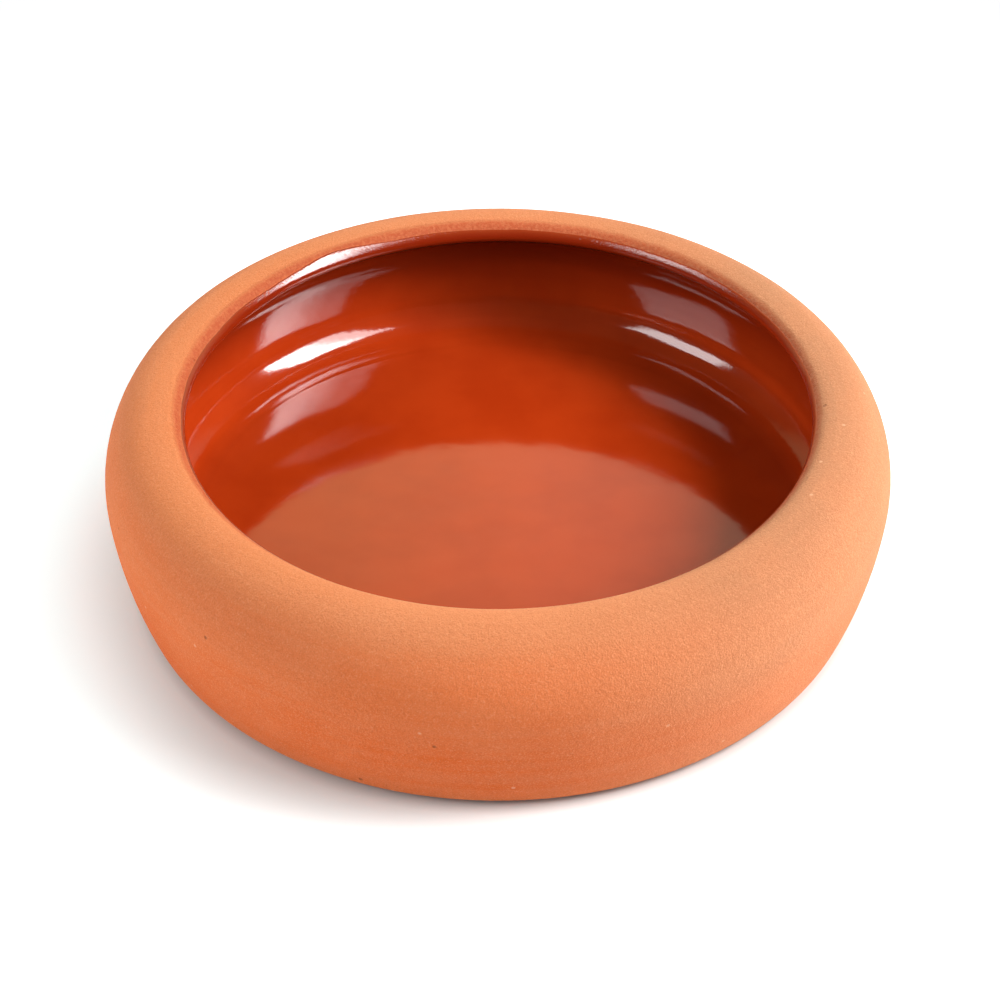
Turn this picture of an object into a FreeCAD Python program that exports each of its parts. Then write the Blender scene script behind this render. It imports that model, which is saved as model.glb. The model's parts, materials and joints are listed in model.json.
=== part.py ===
import FreeCAD, Part
import math
import os

# A round ceramic bowl: one fired clay body, the same all the way round its Z axis.
# Sizes are in millimetres and degrees. Z is up, and the origin is the middle of the
# standing face. The bowl is its half section turned about the Z axis, so every arc
# below lies in that section, with x as the distance from the axis and z as the height.
# A curve is given by its radius. An angle is the direction from a curve's centre:
# 0 points away from the axis, 90 points up and 180 points at the axis.

# Outside of the wall
BELLY_RADIUS = 85.0        # from the axis to the widest point
BELLY_HEIGHT = 27.0        # of the widest point above the standing face
BELLY_CURVE = 21.0         # bulge on both sides of the widest point
BELLY_LOWER_ANGLE = -4.0   # where the bulge runs out into the flank
BELLY_UPPER_ANGLE = 39.0   # where the bulge tightens into the crown
FLANK_CURVE = 90.0         # slow curve between the bulge and the foot
FOOT_CURVE = 4.0           # soft edge round the standing face

# Rim
CROWN_CURVE = 9.6          # rounded top of the rim
CROWN_END_ANGLE = 105.0    # where the crown tightens into the shoulder
SHOULDER_CURVE = 3.0       # between the top of the rim and its lip
SHOULDER_END_ANGLE = 127.0  # where the shoulder runs out into the lip
LIP_CURVE = 9.0            # face of the rim that slopes down into the mouth
LIP_END_ANGLE = 143.0      # where the lip tightens into the nose
NOSE_CURVE = 1.5           # inward edge of the rim, which is the mouth

# Hollow
WALL_THICKNESS = 8.0       # between the widest points of the hollow and the outside
HOLLOW_DROP = 1.0          # of the hollow's widest point below the outside's
INNER_WALL_CURVE = 85.0    # slow curve down the inside of the wall
FILLET_CURVE = 10.0        # rounding between the inside of the wall and the floor
FLOOR_THICKNESS = 10.5


def section_point(x, z):
    return FreeCAD.Vector(x, 0, z)


def point_from(centre, distance, angle):
    """The point at a distance from a centre, in the direction of an angle."""
    turn = math.radians(angle)
    return centre + section_point(distance * math.cos(turn), distance * math.sin(turn))


def arc(centre, curve, start, end):
    """An arc about a centre, from one angle to another."""
    angles = (start, (start + end) / 2, end)
    return Part.Arc(*(point_from(centre, curve, angle) for angle in angles)).toShape()


def line(start, end):
    return Part.LineSegment(start, end).toShape()


def level_end(centre, curve, end_curve, height):
    """Centre of the small curve that ends a large one, and the angle where they join.

    The small curve lies inside the large one, and its lowest point is at the height.
    """
    drop = centre.z - height - end_curve
    join = -math.degrees(math.asin(drop / (curve - end_curve)))
    return point_from(centre, curve - end_curve, join), join


def outside_edges(foot_centre, foot_join, flank_centre, belly_centre):
    """The outside of the section, from the standing face up to the end of the belly."""
    return [
        line(section_point(0, 0), section_point(foot_centre.x, 0)),
        arc(foot_centre, FOOT_CURVE, -90, foot_join),
        arc(flank_centre, FLANK_CURVE, foot_join, BELLY_LOWER_ANGLE),
        arc(belly_centre, BELLY_CURVE, BELLY_LOWER_ANGLE, BELLY_UPPER_ANGLE),
    ]


def rim_edges(crown_centre, shoulder_centre, lip_centre):
    """The rim's section, from the end of the belly over the top to the start of the nose."""
    return [
        arc(crown_centre, CROWN_CURVE, BELLY_UPPER_ANGLE, CROWN_END_ANGLE),
        arc(shoulder_centre, SHOULDER_CURVE, CROWN_END_ANGLE, SHOULDER_END_ANGLE),
        arc(lip_centre, LIP_CURVE, SHOULDER_END_ANGLE, LIP_END_ANGLE),
    ]


def hollow_edges(nose_centre, hollow_radius, hollow_height):
    """The hollow's section, from the start of the nose down to the axis."""
    # The undercut below the nose is one curve. It touches the nose, and it is upright
    # at the hollow's widest point, which sets both its radius and its centre.
    reach = hollow_radius - nose_centre.x
    drop = nose_centre.z - hollow_height
    undercut_curve = (reach ** 2 + drop ** 2 - NOSE_CURVE ** 2) / (2 * (reach + NOSE_CURVE))
    undercut_centre = section_point(hollow_radius - undercut_curve, hollow_height)
    to_nose = nose_centre - undercut_centre
    undercut_start = math.degrees(math.atan2(to_nose.z, to_nose.x))

    wall_centre = section_point(hollow_radius - INNER_WALL_CURVE, hollow_height)
    fillet_centre, fillet_join = level_end(wall_centre, INNER_WALL_CURVE, FILLET_CURVE, FLOOR_THICKNESS)
    return [
        arc(nose_centre, NOSE_CURVE, LIP_END_ANGLE, undercut_start + 180),
        arc(undercut_centre, undercut_curve, undercut_start, 0),
        arc(wall_centre, INNER_WALL_CURVE, 0, fillet_join),
        arc(fillet_centre, FILLET_CURVE, fillet_join, -90),
        line(section_point(fillet_centre.x, FLOOR_THICKNESS), section_point(0, FLOOR_THICKNESS)),
        line(section_point(0, FLOOR_THICKNESS), section_point(0, 0)),
    ]


def bowl():
    """The whole bowl. Each curve meets the next with no corner."""
    belly_centre = section_point(BELLY_RADIUS - BELLY_CURVE, BELLY_HEIGHT)
    flank_centre = point_from(belly_centre, BELLY_CURVE - FLANK_CURVE, BELLY_LOWER_ANGLE)
    foot_centre, foot_join = level_end(flank_centre, FLANK_CURVE, FOOT_CURVE, 0)
    crown_centre = point_from(belly_centre, BELLY_CURVE - CROWN_CURVE, BELLY_UPPER_ANGLE)
    shoulder_centre = point_from(crown_centre, CROWN_CURVE - SHOULDER_CURVE, CROWN_END_ANGLE)
    lip_centre = point_from(shoulder_centre, SHOULDER_CURVE - LIP_CURVE, SHOULDER_END_ANGLE)
    nose_centre = point_from(lip_centre, LIP_CURVE - NOSE_CURVE, LIP_END_ANGLE)

    edges = outside_edges(foot_centre, foot_join, flank_centre, belly_centre)
    edges += rim_edges(crown_centre, shoulder_centre, lip_centre)
    edges += hollow_edges(nose_centre, BELLY_RADIUS - WALL_THICKNESS, BELLY_HEIGHT - HOLLOW_DROP)
    section = Part.Face(Part.Wire(edges))
    solid = section.revolve(section_point(0, 0), FreeCAD.Vector(0, 0, 1), 360)

    print("standing face radius %.2f mm" % foot_centre.x)
    print("mouth radius %.2f mm" % (nose_centre.x - NOSE_CURVE))
    print("height %.2f mm" % solid.optimalBoundingBox(False, False).ZMax)
    return solid


os.makedirs("parts", exist_ok=True)
shape = bowl()
print("valid %s, solids %d, volume %.1f cm3" % (shape.isValid(), len(shape.Solids), shape.Volume / 1000))
shape.exportStep("parts/bowl.step")
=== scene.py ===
# %% [markdown]
# # A glazed earthenware bowl
# A low round bowl of orange clay. The outside is bare and sandy to the touch. The hollow has a
# glossy red-brown glaze that was brushed in and stops in a ragged line on the inner side of the
# rim. The scene has two pieces: the clay body, and the coat of glaze that lies on it.
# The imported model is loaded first. Its frame is in metres, Z is up, and the origin is the middle
# of the face that the bowl stands on. Small sizes are written in millimetres, times MM.

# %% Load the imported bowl
import json
import math

import bmesh
import bpy
import numpy as np
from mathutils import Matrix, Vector, noise

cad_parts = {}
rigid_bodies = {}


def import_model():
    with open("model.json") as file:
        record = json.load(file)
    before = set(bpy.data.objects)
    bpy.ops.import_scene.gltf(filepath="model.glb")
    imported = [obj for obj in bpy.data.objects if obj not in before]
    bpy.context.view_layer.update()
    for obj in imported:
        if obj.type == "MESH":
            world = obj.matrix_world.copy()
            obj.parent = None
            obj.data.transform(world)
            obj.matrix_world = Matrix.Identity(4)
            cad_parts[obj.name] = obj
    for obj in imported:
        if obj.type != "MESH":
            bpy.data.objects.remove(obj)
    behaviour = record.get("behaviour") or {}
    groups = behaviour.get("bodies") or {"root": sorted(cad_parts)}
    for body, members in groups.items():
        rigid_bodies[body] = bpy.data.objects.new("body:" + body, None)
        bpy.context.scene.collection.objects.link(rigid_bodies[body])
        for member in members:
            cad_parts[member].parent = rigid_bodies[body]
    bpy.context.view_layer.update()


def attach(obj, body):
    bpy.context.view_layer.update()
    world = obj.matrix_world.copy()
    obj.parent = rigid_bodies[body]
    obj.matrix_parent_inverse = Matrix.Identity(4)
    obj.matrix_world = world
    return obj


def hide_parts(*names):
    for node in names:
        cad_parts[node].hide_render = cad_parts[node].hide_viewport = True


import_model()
MM = 0.001

# %% [markdown]
# ## The section
# A bowl made on a wheel or in a turning mould is one outline turned about an axis. A potter cuts
# that outline as a template, a rib, whose curves run into each other with no corner. The same can
# be drawn here in two ways: as a curve object, whose arcs are only near to round, or as a line of
# points that the spin operator carries round each arc's centre. The second gives true arcs, so it
# is used. Each bend is a radius and the direction that the surface faces at its end: 0 is away
# from the axis, 90 is up, 180 is towards the axis. A hollow bend has a negative radius.

# %% Draw the section with one point
OUTSIDE_BENDS = [  # radius in millimetres, direction at the end
    (4.0, -18.87),   # foot
    (90.0, -4.0),    # flank
    (21.0, 39.0),    # belly
    (9.6, 105.0),    # crown of the rim
    (3.0, 127.0),    # shoulder
    (9.0, 143.0),    # sloping face of the lip, where the glaze begins
    (1.5, 248.56),   # nose, the narrowest part of the mouth
]
HOLLOW_BENDS = [
    (-13.832, 180.0),  # undercut below the lip
    (-85.0, 175.79),   # inside of the wall
    (-10.0, 90.0),     # fillet
]
SHOULDER = 4             # the shoulder's place in the list of bends
STANDING_RADIUS = 76.55  # millimetres, where the standing face meets the foot
POINT_SPACING = 0.1      # millimetres along an arc
FEWEST_STEPS = 4         # round the tightest arc


def facing(degrees):
    return Vector((math.cos(math.radians(degrees)), 0, math.sin(math.radians(degrees))))


def bend(line, tip, radius, start, end):
    """Carry the line's last point round an arc, and give back its new last point."""
    centre = tip.co - facing(start) * radius * MM
    arc_length = abs(math.radians(end - start) * radius)
    steps = max(FEWEST_STEPS, round(arc_length / POINT_SPACING))
    turned = bmesh.ops.spin(line, geom=[tip], cent=centre, axis=(0, -1, 0),
                            angle=math.radians(end - start), steps=steps, use_duplicate=False)
    return turned["geom_last"][0]


section_line = bmesh.new()
tip = section_line.verts.new((STANDING_RADIUS * MM, 0, 0))
direction = -90.0  # the standing face looks down
bend_ends = []
for radius, end in OUTSIDE_BENDS + HOLLOW_BENDS:
    tip = bend(section_line, tip, radius, direction, end)
    direction = end
    bend_ends.append(len(section_line.verts))
points = [np.array(v.co) for v in section_line.verts]
section_line.free()
print("the section ends %.2f mm above the table, %.2f mm from the axis"
      % (points[-1][2] / MM, points[-1][0] / MM))

# %% [markdown]
# The points are kept as a ruler: how far along the section a place is, and where it lies. The
# distance starts in the middle of the standing face, goes round the outside, over the rim and
# down to the middle of the floor. With it, rings can be placed closely where the form is tight
# and widely where it is plain.

# %% Make the ruler
points = [np.zeros(3)] + points + [np.array([0, 0, points[-1][2]])]
ruler_points = np.array(points)[:, [0, 2]]
ruler = np.r_[0, np.cumsum(np.linalg.norm(np.diff(ruler_points, axis=0), axis=1))]
FACE_START = ruler[bend_ends[SHOULDER]]  # where the sloping face of the lip begins
FLOOR_START = ruler[bend_ends[-1]]       # where the flat floor begins
WHOLE = ruler[-1]                        # the middle of the floor
LOOK = 0.05 * MM                         # how far each way the facing direction is taken over
NEVER_ZERO = 1e-12
print("along the section: lip's face at %.1f mm, floor at %.1f mm, end at %.1f mm"
      % (FACE_START / MM, FLOOR_START / MM, WHOLE / MM))


def on_section(along):
    """Distance from the axis, height, and the facing direction at places along the section."""
    ahead, behind = along + LOOK, along - LOOK
    x, z = (np.interp(along, ruler, ruler_points[:, i]) for i in (0, 1))
    run, rise = (np.interp(ahead, ruler, ruler_points[:, i]) - np.interp(behind, ruler, ruler_points[:, i])
                 for i in (0, 1))
    length = np.maximum(np.hypot(run, rise), NEVER_ZERO)
    return x, z, rise / length, -run / length


# %% [markdown]
# ## Turning a form
# One line of points is spun round the axis, as on the wheel. Each step of a spin looks at the whole
# mesh, so hundreds of steps in one go are slow. A twelfth of the turn is spun first, and that slice
# is then spun as a whole, eleven more times. Points that meet, at the slices and on the axis, are
# merged, so that the form is closed. Each point keeps its place along the section in an attribute,
# which the finishes read later.

# %% Spin a line of points into a form
SLICES = 12
ONE_POINT_WITHIN = 2e-6  # metres; points nearer to each other than this are merged


def turn(name, places, heights, steps):
    """A closed form turned from a line at places along the section, each lifted by its height."""
    form = bmesh.new()
    along_layer = form.verts.layers.float.new("along")
    height_layer = form.verts.layers.float.new("lift")
    last = None
    for place, height in zip(places, heights):
        x, z, out, up = on_section(np.array(place))
        vert = form.verts.new((max(0, x + out * height), 0, z + up * height))
        vert[along_layer] = place
        vert[height_layer] = height
        if last:
            form.edges.new((last, vert))
        last = vert
    slice_angle = math.tau / SLICES
    bmesh.ops.spin(form, geom=form.verts[:] + form.edges[:], cent=(0, 0, 0), axis=(0, 0, 1),
                   angle=slice_angle, steps=steps // SLICES, use_duplicate=False)
    bmesh.ops.spin(form, geom=form.verts[:] + form.edges[:] + form.faces[:],
                   cent=(0, 0, 0), axis=(0, 0, 1),
                   angle=math.tau * (SLICES - 1) / SLICES, steps=SLICES - 1, use_duplicate=True)
    bmesh.ops.remove_doubles(form, verts=form.verts, dist=ONE_POINT_WITHIN)
    bmesh.ops.recalc_face_normals(form, faces=form.faces)
    mesh = bpy.data.meshes.new(name)
    form.to_mesh(mesh)
    form.free()
    mesh.shade_smooth()
    piece = bpy.data.objects.new(name, mesh)
    bpy.context.scene.collection.objects.link(piece)
    return piece


def read(mesh, name):
    """An attribute's value at every point."""
    values = np.zeros(len(mesh.vertices), np.float32)
    mesh.attributes[name].data.foreach_get("value", values)
    return values.astype(float)


def keep(mesh, name, values):
    """Write an attribute's value at every point."""
    layer = mesh.attributes.get(name) or mesh.attributes.new(name, "FLOAT", "POINT")
    layer.data.foreach_set("value", np.asarray(values, np.float32))


def places_of_points(mesh):
    """Where every point of a mesh lies, and in which direction round the axis."""
    flat = np.zeros(len(mesh.vertices) * 3, np.float32)
    mesh.vertices.foreach_get("co", flat)
    spots = flat.reshape(-1, 3).astype(float)
    return spots, np.arctan2(spots[:, 1], spots[:, 0])


def ring_places(stretches):
    """Places for rings up to the end of the section. A stretch is its start and the rings' gap."""
    starts = [start for start, gap in stretches]
    places = []
    for (start, gap), stop in zip(stretches, starts[1:] + [WHOLE]):
        count = max(2, round((stop - start) / gap) + 1)
        places += list(np.linspace(start, stop, count)[:-1])
    return places + [WHOLE]


# %% [markdown]
# ## Where the glaze ends
# The glaze was brushed in by hand, so its edge isn't level: it stands highest on the rim's left
# and back, and slips into the mouth at the front. Outside it runs a dull salmon stain, where thin
# glaze soaked into the clay and didn't melt to gloss. Both edges are written once, as a distance
# past the start of the lip's face for each direction round the bowl, and every finish uses them.

# %% The two edges of the glaze
GLOSS_LEVEL = 1.76    # millimetres past the start of the lip's face, on average
RUN_TOWARDS = 124     # degrees, where one brush stroke ran further up
RUN_HEIGHT = 1.3      # millimetres
RUN_WIDTH = 7.0       # degrees


def gloss_edge(turned):
    level = GLOSS_LEVEL - 0.82 * np.sin(turned) - 0.25 * np.cos(turned)
    run_up = -RUN_HEIGHT * np.exp(-((np.degrees(turned) % 360 - RUN_TOWARDS) / RUN_WIDTH) ** 2)
    return FACE_START + (level + run_up) * MM


def stain_edge(turned):
    level = -0.10 - 1.27 * np.sin(turned) + 0.22 * np.cos(turned) + 0.17 * np.cos(2 * turned)
    return FACE_START + level * MM


def smooth(low, high, value):
    """0 up to low, 1 from high on, and an even S between them."""
    t = np.clip((value - low) / (high - low), 0, 1)
    return t * t * (3 - 2 * t)


def ripple(positions, size, seed):
    """Soft noise with waves of about this size, from -1 to 1, at each position."""
    shift = Vector((seed * 3.1, seed * 1.7, seed * 2.3))
    return np.array([noise.noise(Vector(p) / size + shift) for p in positions])


for degrees in (0, 90, 180, 270):
    t = math.radians(degrees)
    print("at %3d degrees the stain starts %.1f mm and the gloss %.1f mm past the lip's face"
          % (degrees, (stain_edge(t) - FACE_START) / MM, (gloss_edge(t) - FACE_START) / MM))

# %% [markdown]
# ## The unevenness of handwork
# A perfect turning looks like plastic, because real clay moves as it dries and is wiped by hand.
# So each point goes in or out by up to a tenth of a millimetre, in waves of a few centimetres,
# and the lip, which was pressed and wiped last, by up to half a millimetre in two slow waves. The
# standing face and the middle of the floor stay flat. The glaze follows the same waves, so both
# pieces go through one function.

# %% Make a turned form uneven
SLOW_WAVE, SLOW_SIZE, SLOW_SEED = 0.09, 0.045, 1      # millimetres high, metres wide
SHORT_WAVE, SHORT_SIZE, SHORT_SEED = 0.035, 0.017, 2
LIP_LEAN, LIP_LEAN_TOWARDS = 0.30, 215                # millimetres, degrees
LIP_OVAL, LIP_OVAL_TOWARDS = 0.22, 330


def hand_made(piece):
    """Move a piece's points onto the hand-made surface: section, lift, and slow unevenness."""
    mesh = piece.data
    turned = places_of_points(mesh)[1]
    along, lift = read(mesh, "along"), read(mesh, "lift")
    x, z, out, up = on_section(along)
    true_spots = np.c_[x * np.cos(turned), x * np.sin(turned), z]
    wave = (SLOW_WAVE * ripple(true_spots, SLOW_SIZE, SLOW_SEED)
            + SHORT_WAVE * ripple(true_spots, SHORT_SIZE, SHORT_SEED))
    off_the_flats = smooth(0, 12 * MM, z) * smooth(10 * MM, 40 * MM, x)
    lip = (smooth(FACE_START, FACE_START + 5 * MM, along)
           * smooth(FACE_START + 18 * MM, FACE_START + 6 * MM, along))
    lip_wave = lip * (LIP_LEAN * np.cos(turned - math.radians(LIP_LEAN_TOWARDS))
                      + LIP_OVAL * np.cos(2 * turned - math.radians(LIP_OVAL_TOWARDS)))
    move = lift + (wave * off_the_flats + lip_wave) * MM
    away = x + out * move
    placed = np.c_[away * np.cos(turned), away * np.sin(turned), z + up * move]
    mesh.vertices.foreach_set("co", placed.astype(np.float32).ravel())
    mesh.update()


# %% [markdown]
# ## The clay body
# The body is the whole section turned once and made uneven. Its rings are close round the foot and
# closest on the lip, where the glaze ends. Under the glaze the clay lies a little lower, so that
# the glaze fills it back up to the true section.

# %% Turn the clay body
BODY_STEPS = 480             # round the axis
CLAY_DROP = 0.16 * MM        # of the clay below the true section, under the glaze
body_rings = ring_places([
    (0, 9 * MM),                       # standing face
    (74 * MM, 0.7 * MM),               # foot
    (82 * MM, 1.6 * MM),               # flank and belly
    (122 * MM, 0.8 * MM),              # crown
    (FACE_START - 3 * MM, 0.3 * MM),   # shoulder, lip and nose
    (FACE_START + 6 * MM, 1.2 * MM),   # undercut
    (FACE_START + 24 * MM, 0.9 * MM),  # wall and fillet
    (FLOOR_START, 8 * MM),             # floor
])
clay_body = turn("clay_body", body_rings, [0] * len(body_rings), BODY_STEPS)
body_mesh = clay_body.data
body_turned = places_of_points(body_mesh)[1]
body_along = read(body_mesh, "along")
under_glaze = smooth(0.4 * MM, 1.4 * MM, body_along - gloss_edge(body_turned))
keep(body_mesh, "lift", -CLAY_DROP * under_glaze)
hand_made(clay_body)
keep(body_mesh, "stain", body_along - stain_edge(body_turned))
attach(clay_body, "root")
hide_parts("bowl")
print("clay body:", len(body_mesh.vertices), "points,", len(body_mesh.polygons), "faces")

# %% [markdown]
# ## The coat of glaze
# Melted glaze is a skin with a thickness. It could be a painted mask on the clay, but then its
# edge would have no height. Here it is its own closed form: a line along the hollow that comes
# back below the clay's surface, spun like the body. Its first ring is slid to the ragged edge, and
# the rings next to it follow, less and less.

# %% Turn the coat of glaze
COAT_STEPS = 720                         # round the axis
COAT_DEPTH = 0.35 * MM                   # of the coat's underside, which is hidden in the clay
EDGE = FACE_START + GLOSS_LEVEL * MM
CLOSE_RINGS = [0, 0.04, 0.09, 0.16, 0.25, 0.36, 0.5, 0.7, 0.9, 1.2, 1.5, 1.8, 2.1, 2.4, 2.7,
               3.0, 3.3, 3.7, 4.1, 4.6, 5.2, 6.0, 7.0]  # millimetres past the edge
CLOSE_RINGS_BELOW = [0, 0.5, 1.2, 2.4]
top_rings = [EDGE + past * MM for past in CLOSE_RINGS] + ring_places([
    (EDGE + 8.2 * MM, 1.3 * MM),         # undercut
    (EDGE + 22 * MM, 0.9 * MM),          # wall and fillet
    (FLOOR_START - 1 * MM, 0.35 * MM),   # edge of the floor
    (FLOOR_START + 3 * MM, 4.2 * MM),    # floor
])
rings_below = [EDGE + past * MM for past in CLOSE_RINGS_BELOW] + ring_places([
    (EDGE + 4 * MM, 2.2 * MM),
    (EDGE + 22 * MM, 1.4 * MM),
    (FLOOR_START, 16 * MM),
])
coat_heights = [0] * len(top_rings) + [-COAT_DEPTH] * len(rings_below)
glaze_coat = turn("glaze_coat", top_rings + rings_below[::-1], coat_heights, COAT_STEPS)
coat_mesh = glaze_coat.data
coat_spots, coat_turned = places_of_points(coat_mesh)
coat_along = read(coat_mesh, "along")
on_top = read(coat_mesh, "lift") > -COAT_DEPTH / 2
from_edge = coat_along - EDGE
ragged = (0.16 * ripple(coat_spots, 0.009, 5) + 0.10 * ripple(coat_spots, 0.0035, 6)) * MM
slide = (gloss_edge(coat_turned) - EDGE + ragged) * (1 - smooth(0, 7 * MM, from_edge))
print("the edge of the glaze slides by %.1f to %.1f mm" % (slide.min() / MM, slide.max() / MM))

# %% [markdown]
# The skin's own height is three small things. At its very edge it sinks into the clay. Just past
# the edge it swells to a low bead, where the melt drew itself together, and that bead catches the
# light. Where the wall meets the floor the turning tool left a faint seam, which shows most on one
# side.

# %% Give the coat its bead and its seam
BEAD_HEIGHT = 0.13        # millimetres
EDGE_SINKS = 0.10
SEAM_HEIGHT = 0.035
SEAM_PAST = 0.9           # millimetres past the start of the floor
SEAM_WIDTH = 0.55
SEAM_TOWARDS = 2.3        # radians round the axis, where the seam shows most

bead = BEAD_HEIGHT * smooth(0, 0.3, from_edge / MM) * smooth(2.6, 0.4, from_edge / MM)
sunk = -EDGE_SINKS * smooth(0.12, 0, from_edge / MM)
from_floor = (coat_along - FLOOR_START) / MM
seam_shows = 0.35 + 0.65 * smooth(-0.2, 0.8, np.cos(coat_turned - SEAM_TOWARDS))
seam = SEAM_HEIGHT * np.exp(-((from_floor - SEAM_PAST) / SEAM_WIDTH) ** 2) * seam_shows
keep(coat_mesh, "lift", np.where(on_top, (bead + sunk + seam) * MM, -COAT_DEPTH))
keep(coat_mesh, "along", coat_along + slide)
hand_made(glaze_coat)
keep(coat_mesh, "from_edge", from_edge)
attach(glaze_coat, "root")
print("glaze coat:", len(coat_mesh.vertices), "points,", len(coat_mesh.polygons), "faces")

# %% [markdown]
# ## Helpers for the finishes
# A finish is a small network of nodes. One helper makes a node, sets it and joins it to what
# feeds it, so that each line below reads like a step of a recipe.

# %% Make and join nodes
def feed(tree, socket, value):
    """Join an input to another node's output, or give it a plain value."""
    if isinstance(value, bpy.types.NodeSocket):
        tree.links.new(value, socket)
    else:
        socket.default_value = value


def step(tree, kind, feeds=None, **settings):
    """A new node. Feeds gives its inputs, each a plain value or another node's output."""
    made = tree.nodes.new("ShaderNode" + kind)
    for name, value in settings.items():
        setattr(made, name, value)
    for name, value in (feeds or {}).items():
        feed(tree, made.inputs[name], value)
    return made


def sums(tree, operation, first, second=0.0, third=0.0):
    return step(tree, "Math", {0: first, 1: second, 2: third}, operation=operation).outputs[0]


def times(tree, first, second):
    return sums(tree, "MULTIPLY", first, second)


def plus(tree, first, second):
    return sums(tree, "ADD", first, second)


def spread(tree, value, low, high, to_low=0.0, to_high=1.0):
    """A value from low to high, eased to another range and held at its ends."""
    feeds = {"Value": value, "From Min": low, "From Max": high, "To Min": to_low, "To Max": to_high}
    return step(tree, "MapRange", feeds, interpolation_type="SMOOTHSTEP").outputs["Result"]


def clouds(tree, where, per_metre, detail=2.0, roughness=0.5):
    feeds = {"Vector": where, "Scale": per_metre, "Detail": detail, "Roughness": roughness}
    return step(tree, "TexNoise", feeds, noise_dimensions="3D").outputs["Fac"]


def blend(tree, amount, first, second):
    """The first colour where the amount is 0, and the second where it is 1."""
    mixer = step(tree, "Mix", data_type="RGBA")
    for socket, value in ((mixer.inputs[0], amount), (mixer.inputs[6], first), (mixer.inputs[7], second)):
        feed(tree, socket, value)
    return mixer.outputs[2]


def place_of(tree):
    """Where a point of the surface lies, in metres."""
    return step(tree, "TexCoord").outputs["Object"]


def kept(tree, name):
    """The value of an attribute that a piece keeps."""
    return step(tree, "Attribute", attribute_name=name).outputs["Fac"]


def new_group(name, takes, gives):
    """A node group with named inputs and outputs, and its two end nodes."""
    group = bpy.data.node_groups.new(name, "ShaderNodeTree")
    for label, kind, value in takes:
        socket = group.interface.new_socket(name=label, in_out="INPUT", socket_type="NodeSocket" + kind)
        if value is not None:
            socket.default_value = value
    for label, kind in gives:
        group.interface.new_socket(name=label, in_out="OUTPUT", socket_type="NodeSocket" + kind)
    ends = group.nodes.new("NodeGroupInput").outputs, group.nodes.new("NodeGroupOutput").inputs
    return group, *ends


def use_group(tree, group, feeds):
    made = tree.nodes.new("ShaderNodeGroup")
    made.node_tree = group
    for name, value in feeds.items():
        feed(tree, made.inputs[name], value)
    return made.outputs


def new_finish(name):
    finish = bpy.data.materials.new(name)
    finish.use_nodes = True
    return finish, finish.node_tree, finish.node_tree.nodes["Principled BSDF"]


# %% [markdown]
# ## Two effects that both finishes share
# The first is what the wheel leaves: fine lines round the bowl. A noise that is stretched along
# the lines and tight across them does it. Across them it follows the attribute that holds the
# place along the section, so the lines stay level on the wall and become circles on the floor.
# The second is the sand in the clay. It shows fully outside, and faintly through the thin glaze.

# %% Group: lines from the wheel
wheel_lines, takes, gives = new_group(
    "wheel_lines",
    [("Position", "Vector", None), ("Along", "Float", 0.0),
     ("Lines per metre", "Float", 400.0), ("Drift", "Float", 14.0)],
    [("Height", "Float")])
level = times(wheel_lines, takes["Along"], takes["Lines per metre"])
apart = step(wheel_lines, "SeparateXYZ", {0: takes["Position"]}).outputs
x_slow = times(wheel_lines, apart[0], takes["Drift"])
y_slow = times(wheel_lines, apart[1], takes["Drift"])
stretched = step(wheel_lines, "CombineXYZ", {0: x_slow, 1: y_slow, 2: level}).outputs[0]
feed(wheel_lines, gives["Height"], clouds(wheel_lines, stretched, 1.0, 3.0, 0.55))

# %% Group: sand in the clay
sandy_grain, takes, gives = new_group(
    "sandy_grain",
    [("Position", "Vector", None), ("Coarseness", "Float", 1.0)],
    [("Height", "Float"), ("Shade", "Float")])
scaled = step(sandy_grain, "VectorMath", {0: takes["Position"]}, operation="SCALE")
feed(sandy_grain, scaled.inputs["Scale"], sums(sandy_grain, "DIVIDE", 1.0, takes["Coarseness"]))
lumps = clouds(sandy_grain, scaled.outputs[0], 1000.0, 2.0, 0.5)
grains = clouds(sandy_grain, scaled.outputs[0], 3000.0, 2.0, 0.6)
both = plus(sandy_grain, times(sandy_grain, lumps, 0.5), times(sandy_grain, grains, 0.5))
feed(sandy_grain, gives["Height"], both)
feed(sandy_grain, gives["Shade"], grains)
print("shared effects:", wheel_lines.name, "and", sandy_grain.name)


def lines_across(tree, where, along, per_metre, drift):
    feeds = {"Position": where, "Along": along, "Lines per metre": per_metre, "Drift": drift}
    return use_group(tree, wheel_lines, feeds)["Height"]


# %% [markdown]
# ## The bare clay
# Fired red clay is orange, dry and slightly mottled. Its ground colour here is painted light and
# shade by height and side: deepest at its left flank, lighter on the belly and beside the foot,
# palest on the rim, where the light falls, and paler and less red towards its right, which faces
# the strong lamp.
# Sand grains under half a millimetre show as pale and dark dots, and wiping left faint lines. It
# reflects almost nothing sharply, so it is rough, with a high diffuse roughness and a trace of
# dusty sheen. One colour could be painted over the whole, but clay is a layering of such small
# differences, so each is laid over the ones before it, with a mask of its own.

# %% Bare clay: the ground colours
FLANK_TONE = (0.85, 0.163, 0.025, 1)
BELLY_TONE = (0.88, 0.238, 0.070, 1)
FOOT_TONE = (0.88, 0.250, 0.070, 1)
RIM_PAINTED_LIGHT_LEFT = (0.86, 0.290, 0.100, 1)
RIM_PAINTED_LIGHT_RIGHT = (0.84, 0.318, 0.128, 1)
KEY_SIDE_PAINTED_TONE = (0.565, 0.270, 0.134, 1)
PALE_MOTTLE = (0.88, 0.330, 0.140, 1)
DEEP_MOTTLE = (0.80, 0.205, 0.060, 1)
WIPED_TONE = (0.86, 0.36, 0.17, 1)
DARK_GRAIN = (0.52, 0.12, 0.032, 1)
PALE_GRAIN = (0.96, 0.48, 0.24, 1)

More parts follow.
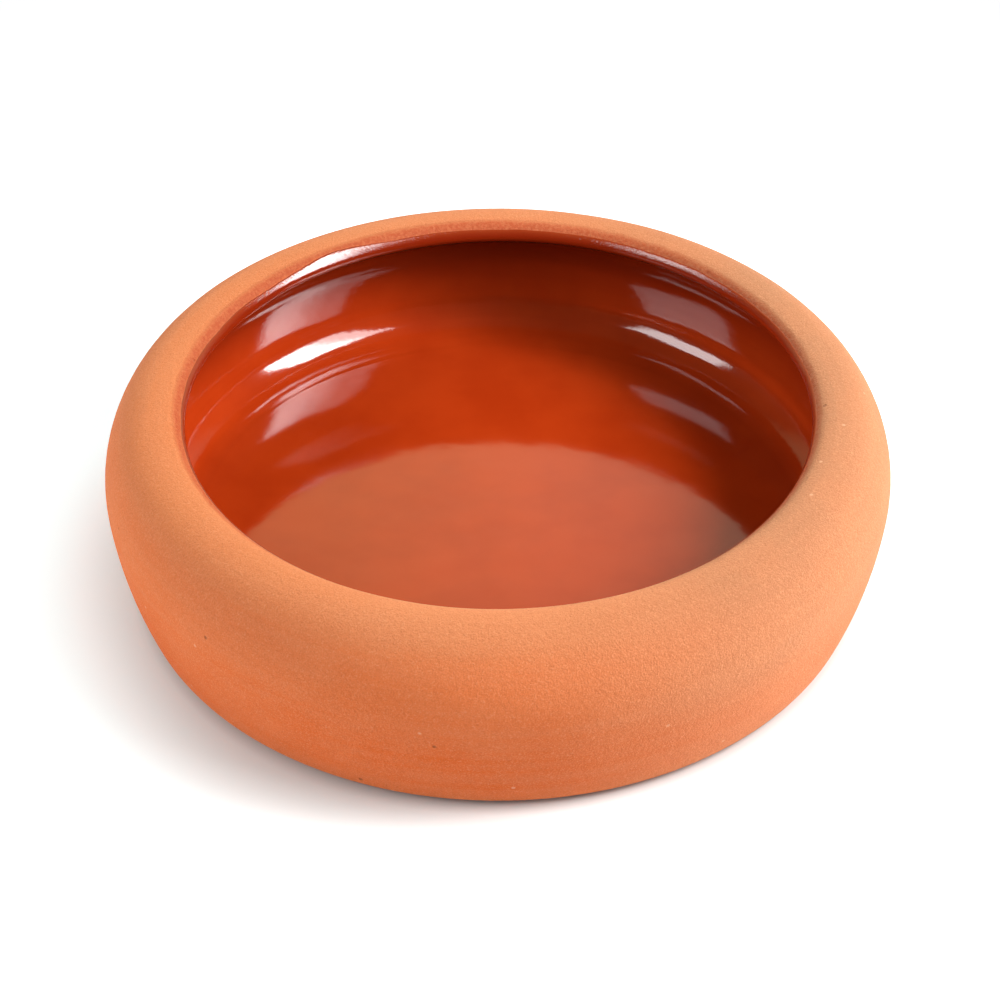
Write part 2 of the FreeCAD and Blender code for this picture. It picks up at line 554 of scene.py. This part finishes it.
clay, tree, skin = new_finish("bare_clay")
where = place_of(tree)
along = kept(tree, "along")
grain = use_group(tree, sandy_grain, {"Position": where, "Coarseness": 1.0})
lines = lines_across(tree, where, along, 420.0, 16.0)
aside, _, up = step(tree, "SeparateXYZ", {0: where}).outputs[:3]

# Painted light and shade by height: deeper low on the flank, lighter on the belly and beside the foot.
colour = blend(tree, spread(tree, up, 0.014, 0.038), FLANK_TONE, BELLY_TONE)
colour = blend(tree, spread(tree, up, 0.0, 0.008, 0.6, 0.0), colour, FOOT_TONE)
# Painted light on the rim: palest on top, and paler still towards the right, where the strong lamp falls.
rim_painted_light = blend(tree, spread(tree, aside, -0.080, 0.0), RIM_PAINTED_LIGHT_LEFT, RIM_PAINTED_LIGHT_RIGHT)
colour = blend(tree, spread(tree, up, 0.036, 0.0445), colour, rim_painted_light)
# Painted light and shade towards the right, which faces the strong lamp: less red, and paler in green and
# blue.
to_right = spread(tree, aside, -0.005, 0.065, 0.0, 0.85)
key_side_painted_mask = times(tree, to_right, spread(tree, up, 0.012, 0.030, 0.65, 1.0))
colour = blend(tree, key_side_painted_mask, colour, KEY_SIDE_PAINTED_TONE)
mottle = clouds(tree, where, 75.0, 3.0, 0.55)
colour = blend(tree, spread(tree, mottle, 0.35, 0.68, 0.0, 0.16), colour, PALE_MOTTLE)
drift = clouds(tree, where, 22.0, 2.0, 0.5)
colour = blend(tree, spread(tree, drift, 0.4, 0.7, 0.0, 0.12), colour, DEEP_MOTTLE)
colour = blend(tree, spread(tree, lines, 0.35, 0.65, 0.0, 0.12), colour, WIPED_TONE)
shade = grain["Shade"]
colour = blend(tree, spread(tree, shade, 0.34, 0.50, 0.22, 0.0), colour, DARK_GRAIN)
colour = blend(tree, spread(tree, shade, 0.53, 0.68, 0.0, 0.34), colour, PALE_GRAIN)
print("clay ground:", len(tree.nodes), "nodes")

# %% [markdown]
# Here and there a grain of iron or of lime shows as a speck. A Voronoi pattern cuts space into
# small cells, each with its own random colour. The few cells whose colour lies at one end of the
# range get a dark speck in their middle, and those at the other end a pale one.

# %% Bare clay: specks
SPECK_CELLS = 330.0      # per metre
DARK_ABOVE = 0.975       # of the cells' random values, which run from 0 to 1
PALE_BELOW = 0.03
DARK_SPECK = (0.30, 0.085, 0.035, 1)
PALE_SPECK = (0.95, 0.60, 0.38, 1)

speck_cells = step(tree, "TexVoronoi", {"Vector": where, "Scale": SPECK_CELLS}, feature="F1")
speck_pick = step(tree, "SeparateColor", {0: speck_cells.outputs["Color"]}).outputs[0]
speck_dot = spread(tree, speck_cells.outputs["Distance"], 0.10, 0.17, 1.0, 0.0)
dark_speck = times(tree, speck_dot, sums(tree, "GREATER_THAN", speck_pick, DARK_ABOVE))
pale_speck = times(tree, speck_dot, sums(tree, "LESS_THAN", speck_pick, PALE_BELOW))
colour = blend(tree, times(tree, dark_speck, 0.45), colour, DARK_SPECK)
colour = blend(tree, times(tree, pale_speck, 0.5), colour, PALE_SPECK)
print("clay with specks:", len(tree.nodes), "nodes")

# %% [markdown]
# The salmon stain starts where the piece's "stain" attribute passes zero. Noise is added to that
# distance, which breaks its edge up, and finer noise lets the clay show through in patches. Its
# outer fringe is a little darker, as the edge of a dried wet spot is.

# %% Bare clay: the stain beside the glaze
STAIN_LEFT = (0.66, 0.135, 0.046, 1)
STAIN_RIGHT = (0.54, 0.122, 0.042, 1)
FRINGE_TONE = (0.55, 0.125, 0.04, 1)

ragged_noise = sums(tree, "SUBTRACT", clouds(tree, where, 260.0, 4.0, 0.65), 0.5)
stain_depth = sums(tree, "MULTIPLY_ADD", ragged_noise, 0.0010, kept(tree, "stain"))
stain = spread(tree, stain_depth, -0.0005, 0.0011)
fringe_starts = spread(tree, stain_depth, -0.0005, 0.0)
fringe_ends = spread(tree, stain_depth, 0.0001, 0.0005, 1.0, 0.0)
fringe = times(tree, fringe_starts, fringe_ends)
patchy = spread(tree, clouds(tree, where, 1300.0, 3.0, 0.6), 0.34, 0.62, 0.62, 1.0)
stained = blend(tree, spread(tree, aside, 0.0, 0.055), STAIN_LEFT, STAIN_RIGHT)
colour = blend(tree, times(tree, stain, patchy), colour, stained)
colour = blend(tree, times(tree, fringe, 0.20), colour, FRINGE_TONE)
feed(tree, skin.inputs["Base Color"], colour)
print("clay with the stain:", len(tree.nodes), "nodes")

# %% [markdown]
# What is left is how the clay takes the light. The stain is a little smoother than the rest. The
# grain and the wiped lines stand out by less than half a millimetre, and each dark speck is a pit.

# %% Bare clay: roughness and relief
CLAY_RELIEF = 0.00048    # metres

feed(tree, skin.inputs["Roughness"], spread(tree, stain, 0.0, 1.0, 0.82, 0.55))
skin.inputs["Diffuse Roughness"].default_value = 0.6
skin.inputs["IOR"].default_value = 1.45
skin.inputs["Specular IOR Level"].default_value = 0.22
skin.inputs["Sheen Weight"].default_value = 0.04
skin.inputs["Sheen Roughness"].default_value = 0.5
skin.inputs["Sheen Tint"].default_value = (1.0, 0.78, 0.62, 1)

relief = plus(tree, grain["Height"], times(tree, lines, 0.35))
relief = sums(tree, "SUBTRACT", relief, times(tree, dark_speck, 0.5))
bump = step(tree, "Bump", {"Height": relief, "Strength": 1.0, "Distance": CLAY_RELIEF})
feed(tree, skin.inputs["Normal"], bump.outputs["Normal"])
clay_body.data.materials.append(clay)
print("clay finish:", len(tree.nodes), "nodes")

# %% [markdown]
# ## The glaze
# A clear iron glaze over red clay looks deep red-brown. It is darker towards the top of the wall,
# painted shade under the overhanging rim, and the clay's colour comes back where it is thin, at its
# edge. On the wall the brush left darker lines in it. Light that it throws on to other places is
# kept dim, a painted shade that darkens the hollow.

# %% Glaze: colour
GLAZE_TONE = (0.55, 0.042, 0.0045, 1)
GLAZE_TONE_CLEARER = (0.62, 0.052, 0.006, 1)
BRUSHED_TONE = (0.42, 0.028, 0.004, 1)
UNDER_RIM_PAINTED_SHADE = (0.23, 0.012, 0.002, 1)
THIN_TONE = (0.50, 0.085, 0.022, 1)
BOUNCE_PAINTED_SHADE_TONE = (0.10, 0.006, 0.001, 1)

glaze, tree, skin = new_finish("glaze")
where = place_of(tree)
along = kept(tree, "along")
in_from_edge = kept(tree, "from_edge")
lines = lines_across(tree, where, along, 190.0, 18.0)
on_wall = spread(tree, along, FLOOR_START - 4 * MM, FLOOR_START + 1 * MM, 0.8, 0.02)
up = step(tree, "SeparateXYZ", {0: where}).outputs[2]

depth = clouds(tree, where, 60.0, 3.0, 0.5)
colour = blend(tree, spread(tree, depth, 0.3, 0.7), GLAZE_TONE, GLAZE_TONE_CLEARER)
streaks = times(tree, spread(tree, lines, 0.35, 0.7, 0.0, 0.25), on_wall)
colour = blend(tree, streaks, colour, BRUSHED_TONE)
# Painted shade under the overhanging rim: the glaze is darker towards the top of the wall.
colour = blend(tree, spread(tree, up, 0.018, 0.033, 0.0, 0.75), colour, UNDER_RIM_PAINTED_SHADE)
thin = spread(tree, in_from_edge, 0.0, 0.0016, 1.0, 0.0)
colour = blend(tree, times(tree, thin, 0.45), colour, THIN_TONE)
# Painted shade in the hollow: bounce rays see the glaze darker, so it throws less light on the walls and
# floor.
bounced = step(tree, "LightPath").outputs["Is Diffuse Ray"]
colour = blend(tree, bounced, colour, BOUNCE_PAINTED_SHADE_TONE)
feed(tree, skin.inputs["Base Color"], colour)
print("glaze colour:", len(tree.nodes), "nodes")

# %% [markdown]
# Glaze is smooth as glass, but not flat. Melting left it gently wavy, brushing left ridges on the
# wall, and near its edge it is pebbled by the clay below, so the lamps' mirror images have soft,
# broken edges. The floor stays calmer. A lead-rich glaze bends light more than window glass, and
# reflects more, which is why its index is higher than usual.

# %% Glaze: gloss and relief
GLAZE_RELIEF = 0.0001    # metres

skin.inputs["Roughness"].default_value = 0.08
skin.inputs["IOR"].default_value = 1.82

grain = use_group(tree, sandy_grain, {"Position": where, "Coarseness": 1.3})
on_lip = spread(tree, in_from_edge, 0.0004, 0.0045, 1.0, 0.0)
brushed = times(tree, lines_across(tree, where, along, 330.0, 75.0), on_wall)
dimpled = times(tree, clouds(tree, where, 250.0, 3.0, 0.6), on_wall)
pebbled = times(tree, clouds(tree, where, 1900.0, 2.0, 0.6), on_lip)
swell = times(tree, clouds(tree, where, 95.0, 2.0, 0.45), 0.7)
swell = plus(tree, swell, times(tree, lines, on_wall))
swell = plus(tree, swell, times(tree, brushed, 0.45))
swell = plus(tree, swell, times(tree, dimpled, 0.50))
swell = plus(tree, swell, times(tree, grain["Height"], 0.03))
swell = plus(tree, swell, times(tree, pebbled, 0.90))
bump = step(tree, "Bump", {"Height": swell, "Strength": 1.0, "Distance": GLAZE_RELIEF})
feed(tree, skin.inputs["Normal"], bump.outputs["Normal"])
glaze_coat.data.materials.append(glaze)
print("glaze finish:", len(tree.nodes), "nodes")

# %% [markdown]
# ## Table
# The bowl stands on a white table that runs out of the picture. A table lit by lamps alone would
# look grey, and more light would bleach the clay, so the camera sees part of its white as plain
# glow, which starts beside the foot and is all there is further out. A little more glow is painted
# light on the left, which lightens the bowl's shadow there. The rest is real white paint, which
# keeps the bowl's shadow. Right beside the foot that paint is darker, a painted contact shadow, and
# the glow is cool, against the orange light that the clay throws there. To light that isn't the
# camera's, the table is white paint with a faint glow of its own, which lights the bowl from below.

# %% White table
TABLE_HALF = 3.0         # metres
WHITE = (1, 1, 1, 1)
PAINT = (0.90, 0.90, 0.90, 1)
PAINT_SEEN = (0.88, 0.90, 0.90, 1)
PAINTED_CONTACT_SHADOW = (0.50, 0.50, 0.50, 1)
GLOW = (0.82, 1.0, 1.0, 1)
GLOW_AT_FOOT = (0.35, 1.0, 1.05, 1)

table_mesh = bmesh.new()
bmesh.ops.create_grid(table_mesh, x_segments=1, y_segments=1, size=TABLE_HALF)
table_data = bpy.data.meshes.new("table")
table_mesh.to_mesh(table_data)
table_mesh.free()
table = bpy.data.objects.new("table", table_data)
bpy.context.scene.collection.objects.link(table)

white, tree, skin = new_finish("white_table")
tree.nodes.remove(skin)
where = place_of(tree)
away = step(tree, "VectorMath", {0: where}, operation="LENGTH").outputs["Value"]
aside = step(tree, "SeparateXYZ", {0: where}).outputs[0]

# Painted contact shadow: the paint that the camera sees is darker right beside the foot.
seen_paint = blend(tree, spread(tree, away, 0.0768, 0.083), PAINTED_CONTACT_SHADOW, PAINT_SEEN)
seen_paint = step(tree, "BsdfDiffuse", {"Color": seen_paint}).outputs[0]
cool = blend(tree, spread(tree, away, 0.078, 0.094), GLOW_AT_FOOT, GLOW)
outwards = spread(tree, away, 0.073, 0.108, 0.0, 0.60)
# Painted light: a little more glow on the left lightens the bowl's shadow there.
glow_with_painted_left_light = plus(tree, outwards, spread(tree, aside, -0.090, -0.050, 0.10, 0.0))
glow = step(tree, "Emission", {"Color": cool, "Strength": glow_with_painted_left_light}).outputs[0]
near = step(tree, "AddShader", {0: seen_paint, 1: glow}).outputs[0]
far = step(tree, "Emission", {"Color": WHITE, "Strength": 1.0}).outputs[0]
seen = step(tree, "MixShader", {0: spread(tree, away, 0.17, 0.32), 1: near, 2: far}).outputs[0]

paint = step(tree, "BsdfDiffuse", {"Color": PAINT}).outputs[0]
from_below = spread(tree, away, 0.085, 0.130, 0.0, 0.28)
back_up = step(tree, "Emission", {"Color": WHITE, "Strength": from_below}).outputs[0]
unseen = step(tree, "AddShader", {0: paint, 1: back_up}).outputs[0]
camera_ray = step(tree, "LightPath").outputs["Is Camera Ray"]
shown = step(tree, "MixShader", {0: camera_ray, 1: unseen, 2: seen}).outputs[0]
feed(tree, tree.nodes["Material Output"].inputs["Surface"], shown)
table_data.materials.append(white)
print("table finish:", len(tree.nodes), "nodes")

# %% [markdown]
# ## The studio around the bowl
# The world is the rest of the studio. The camera sees it white. Mirror-like surfaces see a bright,
# slightly warm patch high on the back wall, strongest in the middle, which gives the floor of the
# bowl its pale patch, and a dim room elsewhere. As light it is only a soft fill, mostly from low
# on the left.

# %% World
DIM_ROOM = 0.04
WARM_LEFT = (1.0, 0.86, 0.44, 1)
WARM_RIGHT = (1.0, 0.88, 0.64, 1)

world = bpy.data.worlds.new("studio")
bpy.context.scene.world = world
world.use_nodes = True
tree = world.node_tree
toward = step(tree, "TexCoord").outputs["Generated"]
aside, back, up = step(tree, "SeparateXYZ", {0: toward}).outputs[:3]

wall = times(tree, spread(tree, back, 0.35, 0.60), spread(tree, up, 0.58, 0.70, 1.04, 0.70))
off_middle = sums(tree, "ABSOLUTE", sums(tree, "SUBTRACT", aside, -0.02))
mirrored = times(tree, wall, spread(tree, off_middle, 0.03, 0.24, 1.0, 0.40))
mirrored = sums(tree, "MAXIMUM", mirrored, DIM_ROOM)

low = spread(tree, up, 0.12, 0.50, 1.0, 0.0)
from_left = spread(tree, aside, -0.75, -0.35, 3.5, 0.45)
from_right = spread(tree, aside, 0.35, 0.75, 0.0, 0.55)
not_front = spread(tree, back, -0.80, -0.15, 0.08, 1.0)
soft = times(tree, times(tree, low, plus(tree, from_left, from_right)), not_front)
soft = plus(tree, soft, spread(tree, up, 0.45, 0.85, 0.02, 0.13))

rays = step(tree, "LightPath").outputs
sharp = sums(tree, "MAXIMUM", rays["Is Glossy Ray"], rays["Is Transmission Ray"])
unseen = step(tree, "Mix", {0: sharp, 2: soft, 3: mirrored}, data_type="FLOAT").outputs[0]
feeds = {0: rays["Is Camera Ray"], 2: unseen, 3: 1.0}
strength = step(tree, "Mix", feeds, data_type="FLOAT").outputs[0]
warm = blend(tree, spread(tree, aside, -0.08, 0.10), WARM_LEFT, WARM_RIGHT)
background = tree.nodes["Background"].inputs
feed(tree, background["Strength"], strength)
feed(tree, background["Color"], blend(tree, sharp, WHITE, warm))
print("world:", len(tree.nodes), "nodes")

# %% [markdown]
# ## Two soft boxes
# The strong one stands to the right and a little in front, raised by 41 degrees. It gives the
# shadow on the left, the bright streak on the lip and the long white light in the fillet. The
# weaker one stands across from it, on the left and in front, and is seen as the second light in
# the fillet. A soft box is brightest in its middle, so both fade towards their edges, and the
# strong one also towards one side.

# %% Soft boxes
AIM_HEIGHT = 0.03        # metres above the table
FADE_FROM = 0.36         # of the width or height, from the middle
FADE_TO = 0.5


def soft_box(name, turned, raised, distance, width, height, glow, far_side=1.0):
    """A square lamp aimed at the bowl. Glow is the brightness of its face.

    Far_side is how much of that its clockwise side has.
    """
    lamp = bpy.data.lights.new(name, "AREA")
    lamp.shape = "RECTANGLE"
    lamp.size = width
    lamp.size_y = height
    lamp.energy = glow * math.pi * width * height
    lamp.use_nodes = True
    face = lamp.node_tree
    on_face = step(face, "NewGeometry").outputs["Parametric"]
    across, upward = step(face, "SeparateXYZ", {0: on_face}).outputs[:2]
    fade = spread(face, across, 0.25, 0.75, far_side, 1.0)
    for place in (across, upward):
        to_edge = sums(face, "ABSOLUTE", sums(face, "SUBTRACT", place, 0.5))
        fade = times(face, fade, spread(face, to_edge, FADE_FROM, FADE_TO, 1.0, 0.0))
    feed(face, face.nodes["Emission"].inputs["Strength"], fade)
    holder = bpy.data.objects.new(name, lamp)
    bpy.context.scene.collection.objects.link(holder)
    t, r = math.radians(turned), math.radians(raised)
    aim = Vector((math.cos(r) * math.cos(t), math.cos(r) * math.sin(t), math.sin(r)))
    holder.location = aim * distance + Vector((0, 0, AIM_HEIGHT))
    holder.rotation_euler = aim.to_track_quat("Z", "Y").to_euler()
    print("%s: %.1f W, face brightness %.1f" % (name, lamp.energy, glow))


soft_box("key_box", turned=-18, raised=41, distance=0.62, width=0.38, height=0.43,
         glow=22.9, far_side=0.25)
soft_box("fill_box", turned=-158, raised=29, distance=0.75, width=0.46, height=0.32, glow=5.1)

# %% [markdown]
# ## The camera
# It stands 42 cm in front of the bowl's axis and 35 cm above the table, and looks down at 38
# degrees through a long lens. These came from fitting the bowl's outline, both edges of its mouth
# and the mirror image of the rim.

# %% Camera
LOOKS_DOWN = 38.296      # degrees
LENS = 87.735            # millimetres, on a sensor 36 mm wide

camera_data = bpy.data.cameras.new("camera")
camera = bpy.data.objects.new("camera", camera_data)
bpy.context.scene.collection.objects.link(camera)
camera.location = (0.00047, -0.42354, 0.34931)
camera.rotation_euler = (math.radians(90 - LOOKS_DOWN), 0, 0)
camera_data.sensor_width = 36.0
camera_data.lens = LENS
camera_data.clip_start = 0.01
bpy.context.scene.camera = camera
bpy.context.scene.view_settings.view_transform = "Standard"
print("camera at", tuple(camera.location))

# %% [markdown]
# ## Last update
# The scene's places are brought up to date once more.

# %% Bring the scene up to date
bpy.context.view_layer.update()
